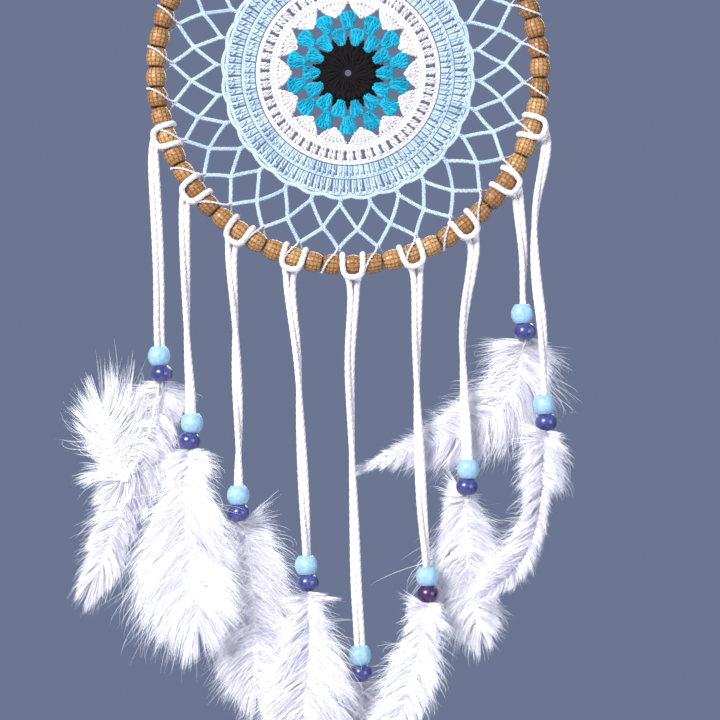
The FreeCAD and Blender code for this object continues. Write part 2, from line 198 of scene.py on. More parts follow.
class Builder:
    """Collects tubes, ribbons and lathed forms in millimetres, and makes one mesh of them."""

    def __init__(self):
        self.points, self.faces, self.shades, self.along, self.count = [], [], [], [], 0

    def grid(self, rows, shade, along, closed):
        """Quads over an array of rows of points; closed joins each row's ends."""
        n, m = rows.shape[:2]
        index = np.arange(n * m).reshape(n, m) + self.count
        right = np.roll(index, -1, axis=1)
        if not closed:
            index, right = index[:, :-1], right[:, :-1]
        quads = np.stack([index[:-1], right[:-1], right[1:], index[1:]], axis=-1)
        self.points.append(rows.reshape(-1, 3))
        self.faces.append(quads.reshape(-1, 4))
        self.shades.append(np.broadcast_to(shade, (n, m)).reshape(-1))
        self.along.append(np.broadcast_to(np.asarray(along)[:, None], (n, m)).reshape(-1))
        self.count += n * m

    def tube(self, path, radius, sides=6, shade=0.5):
        """A round tube with drawn-in ends."""
        path = np.asarray(path, float)
        radius = np.broadcast_to(radius, len(path)).astype(float)
        _, normal, binormal = frames_along(path)
        ends = np.concatenate([[0], np.arange(len(path)), [len(path) - 1]])
        path, radius, normal, binormal = path[ends], radius[ends].copy(), normal[ends], binormal[ends]
        radius[0] *= 0.05
        radius[-1] *= 0.05
        turn = np.linspace(0, 2 * math.pi, sides, endpoint=False)
        ring = normal[:, None] * np.cos(turn)[:, None] + binormal[:, None] * np.sin(turn)[:, None]
        self.grid(path[:, None] + ring * radius[:, None, None], shade, lengths_along(path), True)

    def hairs(self, root, bend, tip, lift, width, shade, points):
        """Many flat hairs at once, each curved from its root past its bend to its tip and tapering to it."""
        t = np.linspace(0, 1, points)
        share = t[None, :, None]
        path = (1 - share) ** 2 * root[:, None] + 2 * share * (1 - share) * bend[:, None] + share ** 2 * tip[:, None]
        path[:, :, 1] += lift[:, None] * np.sin(2.4 * t)
        run = np.gradient(path, axis=1)
        side = np.stack([-run[..., 2], 0.35 * run[..., 0], run[..., 0]], axis=-1)
        side /= np.linalg.norm(side, axis=-1)[..., None] + 1e-9
        half = side * (width[:, None] * ((1 - t) ** 0.55 * 0.5 + 0.05))[..., None]
        strips = np.stack([path - half, path + half], axis=2)
        index = np.arange(len(root) * points * 2).reshape(len(root), points, 2) + self.count
        quads = np.stack([index[:, :-1, 0], index[:, :-1, 1], index[:, 1:, 1], index[:, 1:, 0]], axis=-1)
        self.points.append(strips.reshape(-1, 3))
        self.faces.append(quads.reshape(-1, 4))
        self.shades.append(np.repeat(shade, points * 2))
        self.along.append(np.tile(np.repeat(t, 2), len(root)))
        self.count += strips.size // 3

    def make(self, name, material, body, smooth=True):
        points = np.concatenate(self.points) * MM
        faces = np.concatenate(self.faces)
        mesh = bpy.data.meshes.new(name)
        mesh.vertices.add(len(points))
        mesh.vertices.foreach_set("co", points.astype(np.float32).ravel())
        mesh.loops.add(faces.size)
        mesh.loops.foreach_set("vertex_index", faces.astype(np.int32).ravel())
        mesh.polygons.add(len(faces))
        mesh.polygons.foreach_set("loop_start", np.arange(0, faces.size, 4, dtype=np.int32))
        mesh.update(calc_edges=True)
        mesh.polygons.foreach_set("use_smooth", np.full(len(faces), smooth))
        for label, values in (("shade", self.shades), ("along", self.along)):
            attribute = mesh.attributes.new(label, "FLOAT", "POINT")
            attribute.data.foreach_set("value", np.concatenate(values).astype(np.float32))
        mesh.validate()
        mesh.materials.append(material)
        piece = bpy.data.objects.new(name, mesh)
        bpy.context.collection.objects.link(piece)
        if body:
            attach(piece, body)
        return piece


# ---------------------------------------------------------------- materials

class Look:
    """A procedural material, with short names for the nodes it is made of."""

    def __init__(self, name, roughness, **sockets):
        self.material = bpy.data.materials.new(name)
        self.material.use_nodes = True
        self.tree = self.material.node_tree
        self.shader = self.tree.nodes["Principled BSDF"]
        self.shader.inputs["Roughness"].default_value = roughness
        for socket, value in sockets.items():
            self.shader.inputs[socket.replace("_", " ")].default_value = value

    def node(self, kind, inputs=(), **settings):
        node = self.tree.nodes.new("ShaderNode" + kind)
        for key, value in settings.items():
            setattr(node, key, value)
        for key, value in dict(inputs).items():
            if isinstance(value, bpy.types.NodeSocket):
                self.tree.links.new(value, node.inputs[key])
            else:
                node.inputs[key].default_value = value
        return node

    def attribute(self, name):
        return self.node("Attribute", attribute_name=name).outputs["Fac"]

    def place(self, scale=(1, 1, 1), kind="Object"):
        coordinates = self.node("TexCoord").outputs[kind]
        return self.node("Mapping", {"Vector": coordinates, "Scale": scale}).outputs["Vector"]

    def noise(self, scale, detail=4.0, stretch=(1, 1, 1), kind="Object"):
        """Noise whose features are about 1/scale long."""
        place = self.place(stretch, kind)
        return self.node("TexNoise", {"Vector": place, "Scale": scale, "Detail": detail}).outputs["Fac"]

    def math(self, operation, a, b=0.0):
        return self.node("Math", {0: a, 1: b}, operation=operation).outputs["Value"]

    def weigh(self, a, share, b, rest):
        """A share of one value plus the rest of another."""
        return self.math("ADD", self.math("MULTIPLY", a, share), self.math("MULTIPLY", b, rest))

    def vary(self, value, noise, strength):
        """A value moved up and down by noise from 0 to 1."""
        return self.math("ADD", value, self.math("MULTIPLY", self.math("SUBTRACT", noise, 0.5), strength))

    def ramp(self, value, *stops):
        """A colour ramp from (position, colour) stops."""
        node = self.node("ValToRGB", {"Fac": value})
        elements = node.color_ramp.elements
        while len(elements) < len(stops):
            elements.new(0.5)
        for element, (position, colour) in zip(elements, stops):
            element.position, element.color = position, (*colour, 1.0)
        return node.outputs["Color"]

    def mix(self, factor, a, b):
        node = self.node("MixRGB", {"Fac": factor})
        for key, value in (("Color1", a), ("Color2", b)):
            if isinstance(value, bpy.types.NodeSocket):
                self.tree.links.new(value, node.inputs[key])
            else:
                node.inputs[key].default_value = (*value, 1.0)
        return node.outputs["Color"]

    def finish(self, colour, height=None, strength=0.5, distance=0.0002, roughness=None):
        link = self.tree.links.new
        link(colour, self.shader.inputs["Base Color"])
        if roughness is not None:
            link(roughness, self.shader.inputs["Roughness"])
        if height is not None:
            bump = self.node("Bump", {"Height": height, "Strength": strength, "Distance": distance})
            link(bump.outputs["Normal"], self.shader.inputs["Normal"])
        return self.material

    def spread(self, value, low, high):
        """A value from 0 to 1 moved to the range low to high."""
        return self.node("MapRange", {"Value": value, "To Min": low, "To Max": high}).outputs["Result"]


def yarn_look(name, dark, light, sheen=0.2):
    """Spun yarn: slow shade changes, strands of different tint and fine fibres that roughen it."""
    look = Look(name, 0.85, Sheen_Weight=sheen, Sheen_Roughness=0.5, Specular_IOR_Level=0.2)
    slow = look.noise(90.0, 3.0)
    fine = look.noise(2600.0, 3.0)
    value = look.vary(look.weigh(look.attribute("shade"), 0.55, slow, 0.45), fine, 0.5)
    colour = look.ramp(value, (0.15, dark), (0.75, light))
    height = look.math("ADD", fine, look.noise(1100.0, 2.0))
    return look.finish(colour, height, 0.55, 0.0002, look.spread(fine, 0.7, 0.95))


def wood_look():
    """Barrel beads of tan wood with a fine burnt grid, darker in its grooves, and darkened towards their ends as
    painted shade where the beads meet.
    """
    look = Look("hoop_bead_wood", 0.42, Coat_Weight=0.35, Coat_Roughness=0.3)
    grain = look.noise(7.0, 6.0, (1.0, 14.0, 1.0), "UV")
    tint = look.math("ADD", look.math("MULTIPLY", look.attribute("shade"), 0.26), 0.11)
    value = look.math("ADD", look.math("MULTIPLY", grain, 0.6), tint)
    tan = look.ramp(value, (0.25, (0.14, 0.05, 0.01)), (0.5, (0.46, 0.21, 0.055)), (0.78, (0.86, 0.52, 0.2)))
    wobble = look.math("MULTIPLY", look.noise(5.0, 2.0, (3.0, 3.0, 1.0), "UV"), 0.5)
    separate = look.node("SeparateXYZ", {0: look.place((1, 1, 1), "UV")})
    lines = []
    for axis, count, weight in ((0, 14.0, 0.95), (1, 5.0, 0.7)):  # lines along the bead, then round it
        stripe = look.math("FRACT", look.math("ADD", look.math("MULTIPLY", separate.outputs[axis], count), wobble))
        edge = look.math("ABSOLUTE", look.math("SUBTRACT", stripe, 0.5))
        line = look.node("MapRange", {"Value": edge, "From Min": 0.26, "From Max": 0.44, "To Max": weight},
                         interpolation_type="SMOOTHSTEP").outputs["Result"]
        lines.append(line)
    grid = look.math("MAXIMUM", lines[0], lines[1])
    patch = look.noise(6.0, 3.0, (2.5, 1.5, 1.0), "UV")
    worn = look.math("MULTIPLY", grid, look.node("MapRange", {
        "Value": patch, "From Min": 0.35, "From Max": 0.65, "To Min": 0.3}).outputs["Result"])
    colour = look.mix(worn, tan, (0.05, 0.014, 0.004))
    # Painted shade: each bead is darkened towards its ends, where it meets its neighbours.
    ends = look.attribute("along")
    colour = look.mix(look.math("MULTIPLY", ends, 0.75), colour, (0.06, 0.02, 0.007))
    height = look.math("SUBTRACT", look.math("MULTIPLY", grain, 0.3), grid)
    return look.finish(colour, height, 0.6, 0.0004, look.spread(grid, 0.38, 0.75))


def painted_look():
    """Pale blue paint over wood: satin, faintly mottled, thinner over the grain."""
    look = Look("pale_blue_paint", 0.4, Coat_Weight=0.2, Coat_Roughness=0.3)
    mottle = look.noise(420.0, 4.0)
    grain = look.noise(5.0, 5.0, (10.0, 1.0, 1.0), "UV")
    value = look.weigh(mottle, 0.6, grain, 0.4)
    colour = look.ramp(value, (0.25, (0.21, 0.42, 0.62)), (0.55, (0.38, 0.63, 0.79)), (0.8, (0.55, 0.79, 0.88)))
    return look.finish(colour, value, 0.25, 0.0003, look.spread(mottle, 0.3, 0.52))


def stained_look(name, deep, bright):
    """Stained and lacquered wood: streaks of grain under a clear coat."""
    look = Look(name, 0.3, Coat_Weight=0.7, Coat_Roughness=0.12)
    grain = look.noise(4.0, 7.0, (12.0, 1.5, 1.0), "UV")
    patches = look.noise(260.0, 3.0)
    value = look.weigh(grain, 0.6, patches, 0.4)
    colour = look.ramp(value, (0.3, deep), (0.52, tuple((a + b) / 2 for a, b in zip(deep, bright))), (0.72, bright))
    return look.finish(colour, grain, 0.3, 0.0002, look.spread(patches, 0.2, 0.42))


def metal_look():
    """Dull drawn steel wire with fine scratches along it."""
    look = Look("hoop_wire_steel", 0.4, Metallic=0.9)
    scratch = look.noise(900.0, 5.0, (1.0, 6.0, 1.0))
    colour = look.ramp(scratch, (0.3, (0.3, 0.27, 0.22)), (0.7, (0.55, 0.5, 0.42)))
    return look.finish(colour, scratch, 0.2, 0.0001, look.spread(scratch, 0.3, 0.6))


def down_look():
    """White down: each barb has its own tint, and the low end of the ramp, which the loose fringe barbs and the
    darker tufts reach, is painted grey-lilac shade.
    """
    look = Look("feather_down", 0.6, Sheen_Weight=0.5, Sheen_Roughness=0.4)
    slow = look.noise(70.0, 3.0)
    streak = look.noise(1500.0, 3.0, (1.0, 1.0, 0.3))
    value = look.vary(look.weigh(look.attribute("shade"), 0.7, slow, 0.3), streak, 0.3)
    # The first, grey-lilac stop is painted shade in the down.
    colour = look.ramp(value, (0.12, (0.6, 0.56, 0.74)), (0.38, (0.85, 0.83, 0.92)), (0.66, (0.985, 0.98, 0.99)))
    return look.finish(colour, streak, 0.3, 0.0001, look.spread(streak, 0.5, 0.75))


def quill_look():
    """The smooth horn-like shaft of a feather, with slow streaks of lighter and darker tone along it."""
    look = Look("feather_quill", 0.35, Coat_Weight=0.3)
    slow = look.noise(300.0, 3.0, (1.0, 1.0, 0.2))
    colour = look.ramp(slow, (0.3, (0.78, 0.75, 0.72)), (0.7, (0.95, 0.94, 0.93)))
    return look.finish(colour, slow, 0.15, 0.0001, look.spread(slow, 0.28, 0.45))


def floor_look():
    look = Look("floor_paper", 0.9)
    fine = look.noise(60.0, 4.0)
    return look.finish(look.ramp(fine, (0.3, (0.6, 0.61, 0.63)), (0.7, (0.64, 0.65, 0.67))), fine, 0.05, 0.0005)


BLACK = yarn_look("black_yarn", (0.0006, 0.0005, 0.001), (0.007, 0.0045, 0.006), 0.01)
TURQUOISE = yarn_look("turquoise_yarn", (0.0, 0.12, 0.22), (0.008, 0.5, 0.7), 0.1)
WHITE = yarn_look("white_yarn", (0.5, 0.46, 0.51), (0.95, 0.93, 0.92))
LIGHT_BLUE = yarn_look("light_blue_yarn", (0.25, 0.37, 0.5), (0.64, 0.77, 0.86))
COTTON = yarn_look("white_cotton_cord", (0.74, 0.69, 0.7), (0.97, 0.94, 0.93))
WOOD = wood_look()
PALE_BLUE = painted_look()
PURPLE = stained_look("purple_stain", (0.006, 0.006, 0.07), (0.11, 0.12, 0.42))
VIOLET = stained_look("violet_stain", (0.016, 0.004, 0.035), (0.1, 0.03, 0.16))
STEEL = metal_look()
DOWN = down_look()
QUILL = quill_look()


# ---------------------------------------------------------------- cords

def strand_exit(angle, side):
    """Where a strand leaves its hitch, at the middle of the gap that lets it swing."""
    return on_hoop(STRAND_TOP_RADIUS, angle) + np.array([side * PAIR_RADIUS, 0, -HITCH_DROP - SWING_GAP / 2])


def hitch_side(angle, side):
    """Half of a lark's head hitch, from the hoop's outside over it to the loop in front."""
    a = math.radians(angle)
    along, out = np.array([math.cos(a), 0, math.sin(a)]), np.array([math.sin(a), 0, -math.cos(a)])

    def at(t, u, y):
        return on_hoop(HOOP_RADIUS, angle) + along * (side * t) + out * u + np.array([0, y, 0])

    w = HITCH_WRAP_RADIUS
    return [
        strand_exit(angle, side),
        at(2.1, 7.0, 1.4),
        at(HITCH_GAP, 0.62 * w, 0.92 * w),
        at(HITCH_GAP, -0.45 * w, w),
        at(HITCH_GAP, -w, 0.42 * w),
        at(HITCH_GAP, -w, -0.42 * w),
        at(HITCH_GAP, -0.45 * w, -w),
        at(HITCH_GAP, 0.5 * w, -w),
        at(3.4, 6.3, -4.0),
    ]


def strand_route(number, side):
    """One strand's route from its hitch down into the purple bead, turned round the other strand."""
    angle, blue, purple, twist = PENDANTS[number - 1]
    top = on_hoop(STRAND_TOP_RADIUS, angle) + np.array([0, 0, -HITCH_DROP - SWING_GAP])
    bead_top = np.array([blue[0], 0, -HOOP_RADIUS - blue[1] + BLUE_BEAD[1] / 2 + 2.0])
    end = np.array([purple[0], 0, -HOOP_RADIUS - purple[1] - STRAND_END])
    count = max(2, round(float(np.linalg.norm(top - bead_top)) / TWIST_RUN))
    middles = [top + (bead_top - top) * (i / count) + [x, y, 0] for i, (x, y) in enumerate(WANDER[number - 1])]
    middles.append(end)
    turns = [math.radians(twist * i) for i in range(count + 1)]
    turns += [turns[-1] + math.radians(6)]
    return [m + side * PAIR_RADIUS * np.array([math.cos(t), math.sin(t), 0]) for m, t in zip(middles, turns)]


def nurbs_line(points):
    """The points of a smooth NURBS line that has these control points, in millimetres."""
    curve = bpy.data.curves.new("route", "CURVE")
    curve.dimensions = "3D"
    spline = curve.splines.new("NURBS")
    spline.points.add(len(points) - 1)
    for place, point in zip(spline.points, points):
        place.co = (*point, 1.0)
    spline.order_u = 3
    spline.use_endpoint_u = True
    spline.resolution_u = 16
    holder = bpy.data.objects.new("route", curve)
    bpy.context.collection.objects.link(holder)
    bpy.context.view_layer.update()
    mesh = bpy.data.meshes.new_from_object(holder.evaluated_get(bpy.context.evaluated_depsgraph_get()))
    line = np.array([v.co for v in mesh.vertices])
    bpy.data.objects.remove(holder)
    bpy.data.curves.remove(curve)
    bpy.data.meshes.remove(mesh)
    return line


def laid(builder, line, diameter, plies, pitch, step, sides=7, random=None):
    """Twists plies round a line, as a rope maker lays them."""
    path = even(line, step)
    _, normal, binormal = frames_along(path)
    s = lengths_along(path)
    ply = diameter / 2 * (0.76 if plies > 2 else 0.52)
    reach = diameter / 2 - ply
    for i in range(plies):
        turn = 2 * math.pi * (s / pitch + i / plies)
        offset = normal * np.cos(turn)[:, None] + binormal * np.sin(turn)[:, None]
        shade = 0.5 if random is None else random.uniform(0.35, 0.75)
        builder.tube(path + offset * reach, ply, sides, shade)


def cords():
    """Each pendant's cord: both strands and the hitch in one piece, from bead to bead over the hoop."""
    random = np.random.default_rng(4)
    for number, (angle, blue, _, _) in enumerate(PENDANTS, 1):
        left, right = hitch_side(angle, -1), hitch_side(angle, 1)
        points = strand_route(number, -1)[:0:-1] + left + right[::-1] + strand_route(number, 1)[1:]
        line = nurbs_line(points)
        builder = Builder()
        laid(builder, line, CORD_DIAMETER * CORD_DRAWN, 3, CORD_LAY, CORD_STEP, 8, random)
        fuzz(builder, line, CORD_DIAMETER / 2, int(lengths_along(line)[-1] * FUZZ), random)
        piece = builder.make("cord_%d" % number, COTTON, None)
        pivot = on_hoop(STRAND_TOP_RADIUS, angle) * MM
        pivot[2] -= (HITCH_DROP + SWING_GAP / 2) * MM
        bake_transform(piece)
        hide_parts("hitch_%d" % number, "strands_%d" % number)
        float(lengths_along(line)[-1]) * MM


def fuzz(builder, line, radius, count, random):
    """Fine cotton hairs that stand off a cord."""
    path = even(line, 1.0)
    tangent, normal, binormal = frames_along(path)
    for _ in range(count):
        i = random.integers(1, len(path) - 1)
        turn = random.uniform(0, 2 * math.pi)
        out = normal[i] * math.cos(turn) + binormal[i] * math.sin(turn)
        t = np.linspace(0, 1, 4)[:, None]
        reach = random.uniform(0.3, 0.8)
        hair = path[i] + out * (radius * 0.85 + reach * t) + tangent[i] * random.uniform(-1.2, 1.2) * t ** 1.5
        builder.tube(hair, 0.035, 3, 0.8)


# ---------------------------------------------------------------- hoop

def lathe_profile(size, count):
    """Half the outline of a barrel bead, from its bore round its side and back: height and radius."""
    diameter, end, length, bore = size
    lip = 0.5
    t = np.linspace(-1, 1, count)
    sag = (diameter - end) / 2
    bow = ((length / 2) ** 2 + sag ** 2) / (2 * sag)
    z = t * length / 2
    r = diameter / 2 - bow + np.sqrt(bow ** 2 - z ** 2)
    inner = bore / 2
    head = [(-length / 2 + 2.5, inner), (-length / 2 + lip, inner), (-length / 2 + 0.1, inner + lip)]
    tail = [(-h, w) for h, w in head[::-1]]
    side = [(0.985 * a, b) for a, b in zip(z, r)]
    return np.array(head + [(-length / 2, (inner + end / 2) / 2)] + side
                    + [(length / 2, (inner + end / 2) / 2)] + tail)


def lathe(builder, size, middle, axis, random, count=13, segments=36, wobble=0.008):
    """A turned bead about an axis, a little uneven as wooden ones are. along is 1 at its ends."""
    profile = lathe_profile(size, count)
    axis = axis / np.linalg.norm(axis)
    side = np.cross(axis, [0, 1, 0])
    side /= np.linalg.norm(side)
    front = np.cross(side, axis)
    turn = np.linspace(0, 2 * math.pi, segments + 1)
    uneven = 1 + wobble * np.sin(turn * 2 + random.uniform(0, 6))
    uneven += wobble * 0.6 * np.sin(turn * 5 + random.uniform(0, 6))
    uneven[-1] = uneven[0]
    ring = side[None] * np.cos(turn)[:, None] + front[None] * np.sin(turn)[:, None]
    rows = middle + axis * profile[:, 0][:, None, None]
    rows = rows + ring[None] * profile[:, 1][:, None, None] * uneven[None, :, None]
    ends = np.clip((np.abs(profile[:, 0]) / (size[2] / 2) - 0.86) / 0.14, 0, 1)
    builder.grid(rows, random.uniform(0.1, 0.95), ends, False)
    u = np.broadcast_to(turn / (2 * math.pi) + random.uniform(), rows.shape[:2])
    v = np.broadcast_to((profile[:, 0] / size[2] + 0.5)[:, None], rows.shape[:2])
    return np.stack([u, v], axis=-1).reshape(-1, 2)


def set_uv(piece, corners):
    """Gives each vertex's place round and along its bead to the mesh as a UV map."""
    mesh = piece.data
    layer = mesh.uv_layers.new(name="bead")
    index = np.empty(len(mesh.loops), np.int32)
    mesh.loops.foreach_get("vertex_index", index)
    layer.data.foreach_set("uv", corners[index].astype(np.float32).ravel())


def hoop_beads():
    random = np.random.default_rng(11)
    builder, uv = Builder(), []
    diameter, end, length = HOOP_BEAD_SIZE
    for i in range(HOOP_BEADS):
        angle = 360.0 * i / HOOP_BEADS
        a = math.radians(angle)
        size = (diameter * random.uniform(0.98, 1.0), end * random.uniform(0.97, 1.03), length, HOOP_BEAD_BORE)
        uv.append(lathe(builder, size, on_hoop(HOOP_RADIUS, angle), np.array([math.cos(a), 0, math.sin(a)]), random))
    piece = builder.make("wooden_beads", WOOD, "hoop")
    set_uv(piece, np.concatenate(uv))
    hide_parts("hoop_beads")


def strand_beads():
    random = np.random.default_rng(21)
    for number, (_, blue, purple, _) in enumerate(PENDANTS, 1):
        tilt = np.array([purple[0] - blue[0], 0, -(purple[1] - blue[1])]) * 0.5 + np.array([0, 0, -6.0])
        colours = (("blue", BLUE_BEAD, blue, PALE_BLUE, "pale_blue_bead"),
                   ("purple", PURPLE_BEAD, purple, VIOLET if number == 6 else PURPLE, "purple_bead"))
        for colour, (diameter, height), place, look, slot in colours:
            builder = Builder()
            size = (diameter, diameter * 0.62, height, STRAND_BEAD_BORE)
            axis = tilt if colour == "purple" else np.array([0, 0, -1.0])
            uv = lathe(builder, size, bead_middle(place), axis, random, 25, 56, 0.006)
            piece = builder.make("%s_strand_bead_%d" % (colour, number), look, "pendant_%d" % number)
            set_uv(piece, uv)
            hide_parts("%s_bead_%d" % (colour, number))


# ---------------------------------------------------------------- crochet

YARN = 0.46  # radius of the yarn
POST_POINTS = 11
WRAP_POINTS = 6
CHAIN_POINTS = 34
CHAIN_BOW = 0.5
KNOT_POINTS = 11
PETAL_TURN = 11.2
FAN_TURN = -1.4
# radii about the hoop's middle at which each round of the eye begins and ends
BLACK_ROUND = (3.6, 13.6)
PETAL_ROUND = (14.2, 22.0)
FAN_ROUND = (22.4, 30.6)
SHELL_ROUND = (29.2, 36.2)
MESH_ROUND = (38.2, 44.6)
CLOSE_INNER_ROUND = (46.2, 53.0)
CLOSE_OUTER_ROUND = (53.2, 61.2)
EYE_EDGE = 61.6
STEM_ROOT = 62.0
BLACK_STITCHES = 28
MESH_STITCHES = 56
CLOSE_STITCHES = 112


def post(builder, start, end, random, turns=1.0, spread=0.42, yarn=YARN, flare=1.0):
    """An upright stitch: two lengths of yarn turned round each other, with the wrap across their middle.
    flare is how much thicker the far end is."""
    t = np.linspace(0, 1, POST_POINTS)
    grow = 1 + (flare - 1) * t
    axis = end - start
    side = np.array([-axis[2], 0, axis[0]]) / np.linalg.norm(axis)
    phase = random.uniform(-0.4, 0.4)
    for half in (0, math.pi):
        turn = 2 * math.pi * turns * t + half + phase
        path = start + axis * t[:, None] + side * (grow * spread * np.cos(turn))[:, None]
        path[:, 1] += spread * np.sin(turn)
        builder.tube(path, grow * yarn * random.uniform(0.94, 1.06), 6, random.uniform(0.2, 0.9))
    t = np.linspace(0, 1, WRAP_POINTS)
    middle = start + axis * random.uniform(0.5, 0.62)
    lean = axis * random.uniform(0.1, 0.16)
    half = (1 + flare) / 2 * (spread + 0.6 * yarn)
    wrap = middle + lean * (2 * t[:, None] - 1) + side * (half * (2 * t - 1))[:, None]
    wrap[:, 1] -= (spread + yarn * 0.8) * np.abs(np.sin(math.pi * t)) ** 0.5
    builder.tube(wrap, yarn * 0.7, 6, random.uniform(0.3, 0.9))


def braid(builder, line, width, stitch, random, yarn=YARN, closed=False, sides=6):
    """A crochet chain along a line: three lengths of yarn that cross like a plait, one stitch a crossing."""
    s = lengths_along(line)
    tangent = np.gradient(line, axis=0)
    if closed:
        tangent[0] = tangent[-1] = line[1] - line[-2]
    tangent /= np.linalg.norm(tangent, axis=1)[:, None]
    side = np.cross(tangent, [0, 1, 0])
    count = max(1, round(s[-1] / stitch))
    for i in range(3):
        turn = 2 * math.pi * (count * s / s[-1] + i / 3)
        path = line + side * (width * np.sin(turn))[:, None]
        path[:, 1] += 0.62 * width * np.sin(2 * turn)
        builder.tube(path, yarn * random.uniform(0.95, 1.05), sides, random.uniform(0.25, 0.9))


def ring(radius, count, ripple=0.0, waves=1):
    """A closed line about the hoop's middle, which the ripple makes into a row of scallops."""
    angle = np.linspace(0, 360, count + 1)
    return on_hoop(radius + ripple * np.abs(np.sin(np.radians(angle) * waves / 2)), angle)


def spokes(count, turn, jitter, random):
    """Evenly spaced angles, each a little out of its place."""
    for i in range(count):
        yield turn + 360.0 * i / count + random.uniform(-jitter, jitter)


def braid_ring(builder, radius, stitches, random, width, yarn):
    """A crochet chain that runs all the way round."""
    braid(builder, ring(radius, stitches * 10), width, 2 * math.pi * radius / stitches, random, yarn, True)


def fan(builder, base_radius, tip_radius, angle, base_half, tip_half, stitches, random, yarn, flare):
    """A cluster of stitches that starts narrow and opens outwards, with its top edge chained over."""
    for f in np.linspace(-1, 1, stitches):
        end_radius = tip_radius - 0.9 * f * f
        post(builder, on_hoop(base_radius, angle + f * base_half, 0.2 * f),
             on_hoop(end_radius, angle + f * tip_half), random, 0.8, 0.34, yarn, flare)
    f = np.linspace(-1.12, 1.12, 22)
    top = on_hoop(tip_radius - 0.9 * f * f - 0.2, angle + f * tip_half, -0.25 * np.cos(f))
    braid(builder, top, 0.4, 1.6, random, yarn * 0.92)


def black_round():
    """The centre: stitches that widen outwards, with a small clump of them between each two petals."""
    random = np.random.default_rng(31)
    builder = Builder()
    base, tip = BLACK_ROUND
    for angle in spokes(BLACK_STITCHES, 0.0, 0.8, random):
        post(builder, on_hoop(base, angle), on_hoop(tip, angle + 3.0), random, 0.7, 0.34, 0.6, 2.3)
    braid_ring(builder, 3.9, 12, random, 0.5, 0.55)
    # This inner ring fills most of the centre hole with black yarn: painted shade, standing in for the shadow seen
    # through the hole.
    braid_ring(builder, 2.5, 9, random, 0.45, 0.5)
    braid_ring(builder, tip, 42, random, 0.4, 0.42)
    for i in range(PETALS):
        angle = 360.0 * (i + 0.5) / PETALS + PETAL_TURN
        for f in (-1, 0, 1):
            post(builder, on_hoop(13.4, angle + 4.2 * f, 0.5), on_hoop(18.2 - 1.6 * f * f, angle + 1.4 * f, 0.5),
                 random, 0.6, 0.34, 0.5, 0.6)
    return builder.make("black_centre", BLACK, "hoop")


def turquoise_round(name, base, tip, turn, base_half, tip_half, stitches, seed, chained):
    """Fans of stitches, each gathered in a knot, with a chain along their roots if they are chained."""
    random = np.random.default_rng(seed)
    builder = Builder()
    for angle in spokes(PETALS, turn, 0.5, random):
        fan(builder, base, tip, angle, base_half, tip_half, stitches, random, 0.52, 1.5)
        knot(builder, on_hoop(base + 0.3, angle, -0.3), 0.75, random, 0.5)
    if chained:
        braid_ring(builder, base - 0.3, PETALS * 4, random, 0.38, 0.4)
    return builder.make(name, TURQUOISE, "hoop")


def shell_round():
    """Wide shells that meet in a chained edge."""
    random = np.random.default_rng(51)
    builder = Builder()
    for angle in spokes(PETALS, PETAL_TURN, 0.4, random):
        fan(builder, *SHELL_ROUND, angle, 4.0, 10.8, 7, random, 0.56, 1.25)
        knot(builder, on_hoop(29.4, angle, -0.2), 1.1, random, 0.55)
    braid_ring(builder, 36.5, 98, random, 0.45, 0.5)
    return builder.make("white_shells", WHITE, "hoop")


def mesh_round():
    """Pairs of upright stitches with slits between them, under a double chain."""
    random = np.random.default_rng(61)
    builder = Builder()
    base, tip = MESH_ROUND
    for angle in spokes(MESH_STITCHES, 0.0, 0.5, random):
        for side in (-1.15, 1.15):
            post(builder, on_hoop(base, angle + side), on_hoop(tip, angle + side + random.uniform(-0.5, 0.5)),
                 random, 0.9, 0.5, 0.56)
    braid_ring(builder, base, 84, random, 0.5, 0.5)
    braid_ring(builder, tip, 112, random, 0.45, 0.44)
    braid_ring(builder, 45.5, 112, random, 0.3, 0.36)
    return builder.make("white_mesh", WHITE, "hoop")


def close_round(name, inner, outer, turn, seed):
    """A close round of upright stitches under a chained edge."""
    random = np.random.default_rng(seed)
    builder = Builder()
    for angle in spokes(CLOSE_STITCHES, turn, 0.25, random):
        post(builder, on_hoop(inner + 0.4, angle, random.uniform(-0.15, 0.15)),
             on_hoop(outer - 0.7, angle + random.uniform(-0.3, 0.3)), random, 0.12, 0.0125 * inner, 0.66, 1.08)
    braid_ring(builder, outer - 0.6, CLOSE_STITCHES, random, 0.5, 0.5)
    return builder.make(name, LIGHT_BLUE, "hoop")


def chain(builder, start, end, random):
    """A length of crochet chain between two knots, pulled nearly straight."""
    t = np.linspace(0, 1, CHAIN_POINTS)
    axis = end - start
    side = np.array([-axis[2], 0, axis[0]]) / np.linalg.norm(axis)
    line = start + axis * t[:, None]
    line = line + side * (random.uniform(-CHAIN_BOW, CHAIN_BOW) * np.sin(math.pi * t))[:, None]
    line[:, 1] += random.uniform(-0.25, 0.25) * np.sin(math.pi * t)
    braid(builder, line, 0.62, 2.7, random, 0.5, sides=5)


def knot(builder, middle, size, random, yarn=0.44):
    """A single crochet that joins two chains: three small loops on top of each other."""
    for _ in range(3):
        turn = np.linspace(0, 2 * math.pi, KNOT_POINTS)
        tilt, spin = random.uniform(0.2, 0.7), random.uniform(0, math.pi)
        x, z = np.cos(turn) * size, np.sin(turn) * size * math.cos(tilt)
        y = np.sin(turn) * size * math.sin(tilt)
        loop = np.stack([x * math.cos(spin) - z * math.sin(spin), y, x * math.sin(spin) + z * math.cos(spin)], axis=1)
        builder.tube(middle + loop, yarn, 5, random.uniform(0.3, 0.9))


